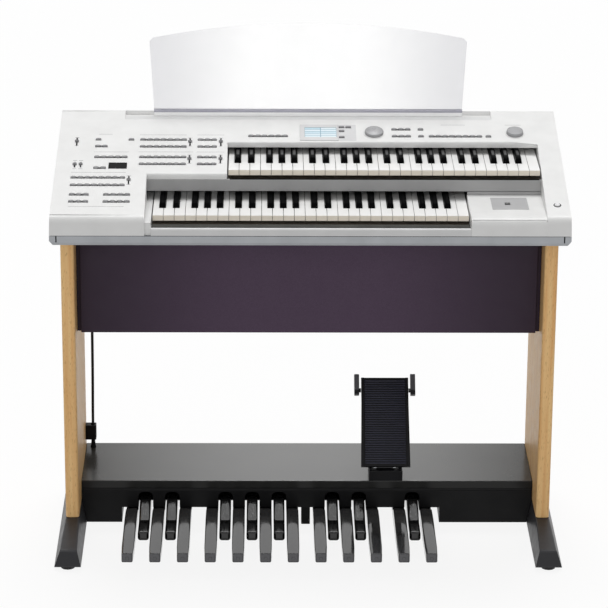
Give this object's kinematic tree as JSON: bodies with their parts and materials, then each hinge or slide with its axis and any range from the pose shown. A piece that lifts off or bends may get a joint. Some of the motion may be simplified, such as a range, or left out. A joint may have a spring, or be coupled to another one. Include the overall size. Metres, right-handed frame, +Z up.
{
  "type": "electronic organ",
  "caption": "Console electronic organ on wooden side legs with two stepped manuals, sloped control panel, a row of bass pedals, expression pedal and leaning music rest.",
  "frame": {"origin": "centre of the footprint at floor level, under the glides of the feet", "axes": "+X to the player's right along the keyboards, +Y from the player to the back, +Z up"},
  "size_m": [1.121, 0.5738, 1.108],
  "materials": {
    "silver_trim": "satin silver grey paint",
    "white_shell": "fine satin white",
    "grey_shell": "satin mid grey",
    "pale_plastic": "satin pale grey",
    "key_white": "polished",
    "key_black": "semi-gloss black",
    "key_frame": "black moulded frame",
    "circuit_board": "green solder mask",
    "screen_blue": "screen behind a clear cover",
    "display_black": "smoked window",
    "frosted_sheet": "frosted sheet",
    "beech": "satin beech grain",
    "plum_board": "dark plum laminate",
    "foot_grey": "dark grey fine texture",
    "black_board": "black laminate on board",
    "black_metal": "satin black paint",
    "black_rubber": "black rubber",
    "tread_rubber": "moulded ribs",
    "switch_grey": "satin dark grey",
    "black_clip": "black",
    "steel": "plain bar",
    "pedal_grey": "satin grey",
    "pedal_black": "satin black"
  },
  "bodies": {
    "stand_and_console": {"keybed_tray": "silver_trim", "top_case": "white_shell", "right_deck": "white_shell", "media_panel": "grey_shell", "key_slip": "pale_plastic", "upper_key_rail": "grey_shell", "lower_key_frame": "key_frame", "upper_key_frame": "key_frame", "main_board": "circuit_board", "lcd_screen": "screen_blue", "level_display": "display_black", "music_rest_rail": "grey_shell", "leg_left": "beech", "leg_right": "beech", "foot_left": "foot_grey", "foot_right": "foot_grey", "knee_panel": "plum_board", "pedal_base_board": "black_board", "pedal_base_housing": "black_board", "pedal_base_support": "black_rubber", "pedal_pivot_rod": "steel", "expression_bracket": "black_metal", "pedal_lead": "black_rubber", "lead_clip": "black_clip"},
    "lower_white_keys": {"lower_white_keys": "key_white"},
    "lower_black_keys": {"lower_black_keys": "key_black"},
    "upper_white_keys": {"upper_white_keys": "key_white"},
    "upper_black_keys": {"upper_black_keys": "key_black"},
    "left_panel_buttons": {"left_panel_buttons": "pale_plastic"},
    "voice_buttons": {"voice_buttons": "pale_plastic"},
    "function_buttons": {"function_buttons": "pale_plastic"},
    "left_panel_sliders": {"left_panel_sliders": "grey_shell"},
    "voice_level_sliders": {"voice_level_sliders": "grey_shell"},
    "data_dial": {"data_dial": "pale_plastic"},
    "volume_knob": {"volume_knob": "pale_plastic"},
    "power_button": {"power_button": "grey_shell"},
    "music_rest": {"music_rest": "frosted_sheet"},
    "expression_tread": {"expression_tread": "tread_rubber"},
    "foot_switch_left": {"foot_switch_left": "switch_grey"},
    "foot_switch_right": {"foot_switch_right": "switch_grey"},
    "pedal_c_1": {"pedal_c_1": "pedal_grey"},
    "pedal_c_sharp_1": {"pedal_c_sharp_1": "pedal_black"},
    "pedal_d_1": {"pedal_d_1": "pedal_grey"},
    "pedal_d_sharp_1": {"pedal_d_sharp_1": "pedal_black"},
    "pedal_e_1": {"pedal_e_1": "pedal_grey"},
    "pedal_f_1": {"pedal_f_1": "pedal_grey"},
    "pedal_f_sharp_1": {"pedal_f_sharp_1": "pedal_black"},
    "pedal_g_1": {"pedal_g_1": "pedal_grey"},
    "pedal_g_sharp_1": {"pedal_g_sharp_1": "pedal_black"},
    "pedal_a_1": {"pedal_a_1": "pedal_grey"},
    "pedal_a_sharp_1": {"pedal_a_sharp_1": "pedal_black"},
    "pedal_b_1": {"pedal_b_1": "pedal_grey"},
    "pedal_c_2": {"pedal_c_2": "pedal_grey"},
    "pedal_c_sharp_2": {"pedal_c_sharp_2": "pedal_black"},
    "pedal_d_2": {"pedal_d_2": "pedal_grey"},
    "pedal_d_sharp_2": {"pedal_d_sharp_2": "pedal_black"},
    "pedal_e_2": {"pedal_e_2": "pedal_grey"},
    "pedal_f_2": {"pedal_f_2": "pedal_grey"},
    "pedal_f_sharp_2": {"pedal_f_sharp_2": "pedal_black"},
    "pedal_g_2": {"pedal_g_2": "pedal_grey"}
  },
  "joints": [
    {"name": "pedal_c_1_press", "type": "hinge", "parent": "stand_and_console", "child": "pedal_c_1", "pos_m": [0, 0.20212, 0.024], "axis": [1, 0, 0], "range_deg": [0, 2.4], "stiffness_Nm_per_rad": 30, "springref_deg": -8.59},
    {"name": "pedal_c_sharp_1_press", "type": "hinge", "parent": "stand_and_console", "child": "pedal_c_sharp_1", "pos_m": [0, 0.20212, 0.024], "axis": [1, 0, 0], "range_deg": [0, 2.4], "stiffness_Nm_per_rad": 30, "springref_deg": -8.59},
    {"name": "pedal_d_1_press", "type": "hinge", "parent": "stand_and_console", "child": "pedal_d_1", "pos_m": [0, 0.20212, 0.024], "axis": [1, 0, 0], "range_deg": [0, 2.4], "stiffness_Nm_per_rad": 30, "springref_deg": -8.59},
    {"name": "pedal_d_sharp_1_press", "type": "hinge", "parent": "stand_and_console", "child": "pedal_d_sharp_1", "pos_m": [0, 0.20212, 0.024], "axis": [1, 0, 0], "range_deg": [0, 2.4], "stiffness_Nm_per_rad": 30, "springref_deg": -8.59},
    {"name": "pedal_e_1_press", "type": "hinge", "parent": "stand_and_console", "child": "pedal_e_1", "pos_m": [0, 0.20212, 0.024], "axis": [1, 0, 0], "range_deg": [0, 2.4], "stiffness_Nm_per_rad": 30, "springref_deg": -8.59},
    {"name": "pedal_f_1_press", "type": "hinge", "parent": "stand_and_console", "child": "pedal_f_1", "pos_m": [0, 0.20212, 0.024], "axis": [1, 0, 0], "range_deg": [0, 2.4], "stiffness_Nm_per_rad": 30, "springref_deg": -8.59},
    {"name": "pedal_f_sharp_1_press", "type": "hinge", "parent": "stand_and_console", "child": "pedal_f_sharp_1", "pos_m": [0, 0.20212, 0.024], "axis": [1, 0, 0], "range_deg": [0, 2.4], "stiffness_Nm_per_rad": 30, "springref_deg": -8.59},
    {"name": "pedal_g_1_press", "type": "hinge", "parent": "stand_and_console", "child": "pedal_g_1", "pos_m": [0, 0.20212, 0.024], "axis": [1, 0, 0], "range_deg": [0, 2.4], "stiffness_Nm_per_rad": 30, "springref_deg": -8.59},
    {"name": "pedal_g_sharp_1_press", "type": "hinge", "parent": "stand_and_console", "child": "pedal_g_sharp_1", "pos_m": [0, 0.20212, 0.024], "axis": [1, 0, 0], "range_deg": [0, 2.4], "stiffness_Nm_per_rad": 30, "springref_deg": -8.59},
    {"name": "pedal_a_1_press", "type": "hinge", "parent": "stand_and_console", "child": "pedal_a_1", "pos_m": [0, 0.20212, 0.024], "axis": [1, 0, 0], "range_deg": [0, 2.4], "stiffness_Nm_per_rad": 30, "springref_deg": -8.59},
    {"name": "pedal_a_sharp_1_press", "type": "hinge", "parent": "stand_and_console", "child": "pedal_a_sharp_1", "pos_m": [0, 0.20212, 0.024], "axis": [1, 0, 0], "range_deg": [0, 2.4], "stiffness_Nm_per_rad": 30, "springref_deg": -8.59},
    {"name": "pedal_b_1_press", "type": "hinge", "parent": "stand_and_console", "child": "pedal_b_1", "pos_m": [0, 0.20212, 0.024], "axis": [1, 0, 0], "range_deg": [0, 2.4], "stiffness_Nm_per_rad": 30, "springref_deg": -8.59},
    {"name": "pedal_c_2_press", "type": "hinge", "parent": "stand_and_console", "child": "pedal_c_2", "pos_m": [0, 0.20212, 0.024], "axis": [1, 0, 0], "range_deg": [0, 2.4], "stiffness_Nm_per_rad": 30, "springref_deg": -8.59},
    {"name": "pedal_c_sharp_2_press", "type": "hinge", "parent": "stand_and_console", "child": "pedal_c_sharp_2", "pos_m": [0, 0.20212, 0.024], "axis": [1, 0, 0], "range_deg": [0, 2.4], "stiffness_Nm_per_rad": 30, "springref_deg": -8.59},
    {"name": "pedal_d_2_press", "type": "hinge", "parent": "stand_and_console", "child": "pedal_d_2", "pos_m": [0, 0.20212, 0.024], "axis": [1, 0, 0], "range_deg": [0, 2.4], "stiffness_Nm_per_rad": 30, "springref_deg": -8.59},
    {"name": "pedal_d_sharp_2_press", "type": "hinge", "parent": "stand_and_console", "child": "pedal_d_sharp_2", "pos_m": [0, 0.20212, 0.024], "axis": [1, 0, 0], "range_deg": [0, 2.4], "stiffness_Nm_per_rad": 30, "springref_deg": -8.59},
    {"name": "pedal_e_2_press", "type": "hinge", "parent": "stand_and_console", "child": "pedal_e_2", "pos_m": [0, 0.20212, 0.024], "axis": [1, 0, 0], "range_deg": [0, 2.4], "stiffness_Nm_per_rad": 30, "springref_deg": -8.59},
    {"name": "pedal_f_2_press", "type": "hinge", "parent": "stand_and_console", "child": "pedal_f_2", "pos_m": [0, 0.20212, 0.024], "axis": [1, 0, 0], "range_deg": [0, 2.4], "stiffness_Nm_per_rad": 30, "springref_deg": -8.59},
    {"name": "pedal_f_sharp_2_press", "type": "hinge", "parent": "stand_and_console", "child": "pedal_f_sharp_2", "pos_m": [0, 0.20212, 0.024], "axis": [1, 0, 0], "range_deg": [0, 2.4], "stiffness_Nm_per_rad": 30, "springref_deg": -8.59},
    {"name": "pedal_g_2_press", "type": "hinge", "parent": "stand_and_console", "child": "pedal_g_2", "pos_m": [0, 0.20212, 0.024], "axis": [1, 0, 0], "range_deg": [0, 2.4], "stiffness_Nm_per_rad": 30, "springref_deg": -8.59},
    {"name": "lower_white_keys_press", "type": "hinge", "parent": "stand_and_console", "child": "lower_white_keys", "pos_m": [0, 0.07112, 0.7845], "axis": [1, 0, 0], "range_deg": [0, 2.7], "stiffness_Nm_per_rad": 60, "springref_deg": -6.88},
    {"name": "lower_black_keys_press", "type": "hinge", "parent": "stand_and_console", "child": "lower_black_keys", "pos_m": [0, 0.08612, 0.7845], "axis": [1, 0, 0], "range_deg": [0, 2.7], "stiffness_Nm_per_rad": 60, "springref_deg": -6.88},
    {"name": "upper_white_keys_press", "type": "hinge", "parent": "stand_and_console", "child": "upper_white_keys", "pos_m": [0, 0.19712, 0.847], "axis": [1, 0, 0], "range_deg": [0, 2.7], "stiffness_Nm_per_rad": 60, "springref_deg": -6.88},
    {"name": "upper_black_keys_press", "type": "hinge", "parent": "stand_and_console", "child": "upper_black_keys", "pos_m": [0, 0.21213, 0.847], "axis": [1, 0, 0], "range_deg": [0, 2.7], "stiffness_Nm_per_rad": 60, "springref_deg": -6.88},
    {"name": "expression_tilt", "type": "hinge", "parent": "stand_and_console", "child": "expression_tread", "pos_m": [0.1785, 0.04448, 0.14295], "axis": [-1, 0, 0], "range_deg": [-2, 22]},
    {"name": "foot_switch_left_push", "type": "hinge", "parent": "expression_tread", "child": "foot_switch_left", "pos_m": [0.1235, 0.1352, 0.27829], "axis": [0, -0.766, 0.6428], "range_deg": [0, 6], "stiffness_Nm_per_rad": 2, "springref_deg": -11.46},
    {"name": "foot_switch_right_push", "type": "hinge", "parent": "expression_tread", "child": "foot_switch_right", "pos_m": [0.2335, 0.1352, 0.27829], "axis": [0, 0.766, -0.6428], "range_deg": [0, 6], "stiffness_Nm_per_rad": 2, "springref_deg": -11.46},
    {"name": "data_dial_turn", "type": "hinge", "parent": "stand_and_console", "child": "data_dial", "pos_m": [0.1458, 0.14539, 0.89157], "axis": [0, -0.2425, 0.9701], "continuous": true},
    {"name": "volume_turn", "type": "hinge", "parent": "stand_and_console", "child": "volume_knob", "pos_m": [0.4596, 0.14539, 0.89157], "axis": [0, -0.2425, 0.9701], "range_deg": [-150, 150]},
    {"name": "power_press", "type": "slide", "parent": "stand_and_console", "child": "power_button", "axis": [0, 0.2425, -0.9701], "range_m": [0, 0.0015], "stiffness_N_per_m": 400, "springref_m": -0.002},
    {"name": "left_panel_buttons_press", "type": "slide", "parent": "stand_and_console", "child": "left_panel_buttons", "axis": [0, 0.2425, -0.9701], "range_m": [0, 0.001], "stiffness_N_per_m": 1500, "springref_m": -0.001},
    {"name": "voice_buttons_press", "type": "slide", "parent": "stand_and_console", "child": "voice_buttons", "axis": [0, 0.2425, -0.9701], "range_m": [0, 0.001], "stiffness_N_per_m": 1500, "springref_m": -0.001},
    {"name": "function_buttons_press", "type": "slide", "parent": "stand_and_console", "child": "function_buttons", "axis": [0, 0.2425, -0.9701], "range_m": [0, 0.001], "stiffness_N_per_m": 1500, "springref_m": -0.001},
    {"name": "left_panel_sliders_move", "type": "slide", "parent": "stand_and_console", "child": "left_panel_sliders", "axis": [0, 0.9701, 0.2425], "range_m": [-0.008, 0.008]},
    {"name": "voice_level_sliders_move", "type": "slide", "parent": "stand_and_console", "child": "voice_level_sliders", "axis": [0, 0.9701, 0.2425], "range_m": [-0.015, 0.015]},
    {"name": "music_rest_lift", "type": "slide", "parent": "stand_and_console", "child": "music_rest", "axis": [0, 0.2419, 0.9703], "range_m": [0, 0.03]}
  ]
}
